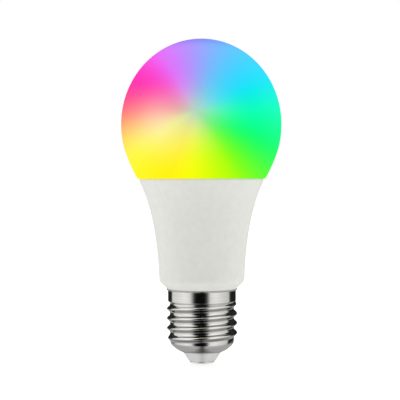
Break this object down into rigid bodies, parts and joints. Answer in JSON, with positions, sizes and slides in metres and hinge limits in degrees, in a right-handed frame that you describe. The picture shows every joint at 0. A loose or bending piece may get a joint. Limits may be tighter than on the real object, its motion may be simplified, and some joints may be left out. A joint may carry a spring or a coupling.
{
  "type": "smart light bulb",
  "caption": "Colour-changing LED lamp: opal rounded globe on a flared white housing with a screw cap, with LED board, radio module and driver electronics inside.",
  "frame": {"origin": "middle of the centre contact's flat face, on the lamp's axis, at the foot of the screw cap", "axes": "+Z along the lamp's axis from the centre contact to the top of the globe; -Y is the front in the picture; +X is the picture's right"},
  "size_m": [0.06, 0.06, 0.121],
  "materials": {
    "diffuser_globe": "opal satin, lit from inside",
    "housing_shell": "fine satin moulding",
    "screw_shell": "bright nickel plate on rolled sheet",
    "base_insulator": "moulded, satin",
    "center_contact": "nickel plate, pressed",
    "contact_nail": "nickel plate",
    "heat_sink_cup": "drawn, bare",
    "led_board": "white solder resist on aluminium",
    "led_board_screws": "zinc plate",
    "white_led_frames": "moulded, satin",
    "cool_phosphor": "silicone with phosphor",
    "warm_phosphor": "silicone with phosphor",
    "rgb_led_frames": "moulded, satin",
    "rgb_led_lenses": "clear resin",
    "red_dies": "polished die",
    "green_dies": "polished die",
    "blue_dies": "polished die",
    "led_connector": "moulded nylon",
    "driver_board": "green solder resist on glass laminate",
    "solder_joints": "bright solder",
    "bulk_capacitor_can": "drawn can",
    "bulk_capacitor_sleeve": "shrunk film",
    "bulk_capacitor_bung": "moulded",
    "bulk_capacitor_leads": "tinned",
    "output_capacitor_can": "drawn can",
    "output_capacitor_sleeve": "shrunk film",
    "output_capacitor_bung": "moulded",
    "output_capacitor_leads": "tinned",
    "fuse_resistor": "dipped coating with code bands",
    "fuse_resistor_leads": "tinned",
    "varistor": "dipped epoxy",
    "varistor_leads": "tinned",
    "film_capacitor": "moulded box",
    "film_capacitor_leads": "tinned",
    "choke_core": "ground ferrite",
    "choke_winding": "enamelled copper wire",
    "choke_sleeve": "shrunk film",
    "choke_leads": "tinned",
    "transformer_core": "ground ferrite",
    "transformer_bobbin": "moulded phenolic",
    "transformer_winding": "enamelled copper wire",
    "transformer_tape": "polyester tape",
    "transformer_pins": "tinned",
    "bridge_rectifier": "moulded epoxy",
    "driver_chips": "moulded epoxy",
    "driver_chip_legs": "tinned",
    "chip_resistors": "glazed top, tinned ends",
    "chip_capacitors": "fired ceramic, tinned ends",
    "header_pins": "gold flash",
    "header_strip": "moulded nylon",
    "radio_board": "dark solder resist on glass laminate",
    "radio_chip": "moulded epoxy",
    "radio_crystal": "lid of nickel",
    "radio_aerial": "copper track under resist",
    "radio_passives": "fired ceramic, tinned ends",
    "radio_solder": "bright solder",
    "wire_cores": "tinned copper",
    "live_wire_sleeve": "silicone",
    "neutral_wire_sleeve": "silicone"
  },
  "bodies": {
    "root": {"diffuser_globe": "diffuser_globe", "housing_shell": "housing_shell", "screw_shell": "screw_shell", "base_insulator": "base_insulator", "center_contact": "center_contact", "contact_nail": "contact_nail", "heat_sink_cup": "heat_sink_cup", "led_board": "led_board", "led_board_screws": "led_board_screws", "white_led_frames": "white_led_frames", "cool_phosphor": "cool_phosphor", "warm_phosphor": "warm_phosphor", "rgb_led_frames": "rgb_led_frames", "rgb_led_lenses": "rgb_led_lenses", "red_dies": "red_dies", "green_dies": "green_dies", "blue_dies": "blue_dies", "led_connector": "led_connector", "driver_board": "driver_board", "solder_joints": "solder_joints", "bulk_capacitor_can": "bulk_capacitor_can", "bulk_capacitor_sleeve": "bulk_capacitor_sleeve", "bulk_capacitor_bung": "bulk_capacitor_bung", "bulk_capacitor_leads": "bulk_capacitor_leads", "output_capacitor_can": "output_capacitor_can", "output_capacitor_sleeve": "output_capacitor_sleeve", "output_capacitor_bung": "output_capacitor_bung", "output_capacitor_leads": "output_capacitor_leads", "fuse_resistor": "fuse_resistor", "fuse_resistor_leads": "fuse_resistor_leads", "varistor": "varistor", "varistor_leads": "varistor_leads", "film_capacitor": "film_capacitor", "film_capacitor_leads": "film_capacitor_leads", "choke_core": "choke_core", "choke_winding": "choke_winding", "choke_sleeve": "choke_sleeve", "choke_leads": "choke_leads", "transformer_core": "transformer_core", "transformer_bobbin": "transformer_bobbin", "transformer_winding": "transformer_winding", "transformer_tape": "transformer_tape", "transformer_pins": "transformer_pins", "bridge_rectifier": "bridge_rectifier", "driver_chips": "driver_chips", "driver_chip_legs": "driver_chip_legs", "chip_resistors": "chip_resistors", "chip_capacitors": "chip_capacitors", "header_pins": "header_pins", "header_strip": "header_strip", "radio_board": "radio_board", "radio_chip": "radio_chip", "radio_crystal": "radio_crystal", "radio_aerial": "radio_aerial", "radio_passives": "radio_passives", "radio_solder": "radio_solder", "wire_cores": "wire_cores", "live_wire_sleeve": "live_wire_sleeve", "neutral_wire_sleeve": "neutral_wire_sleeve"}
  },
  "joints": []
}
